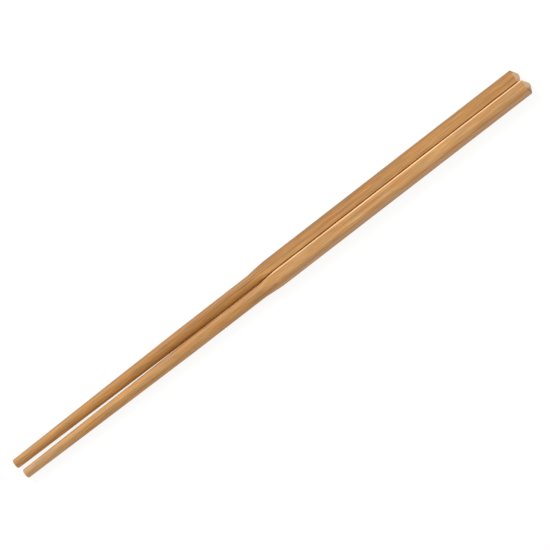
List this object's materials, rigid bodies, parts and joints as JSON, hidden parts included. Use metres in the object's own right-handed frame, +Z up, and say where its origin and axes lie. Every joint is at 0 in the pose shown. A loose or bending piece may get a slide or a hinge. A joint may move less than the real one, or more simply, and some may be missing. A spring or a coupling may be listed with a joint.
{
  "type": "pair of chopsticks",
  "caption": "Slim bamboo chopsticks with square, blunt-pointed handles and round shafts that taper to flat tips, lying side by side, for picking up food.",
  "frame": {"origin": "bottom centre of the pair, on the surface that it lies on", "axes": "+X along the sticks towards the ends of their handles, +Y across the pair towards the rear stick, +Z up"},
  "size_m": [0.2414, 0.011, 0.0053],
  "materials": {
    "bamboo": "sanded caramel bamboo with straight fibres, satin"
  },
  "bodies": {
    "root": {"rear_stick": "bamboo", "front_stick": "bamboo"}
  },
  "joints": []
}
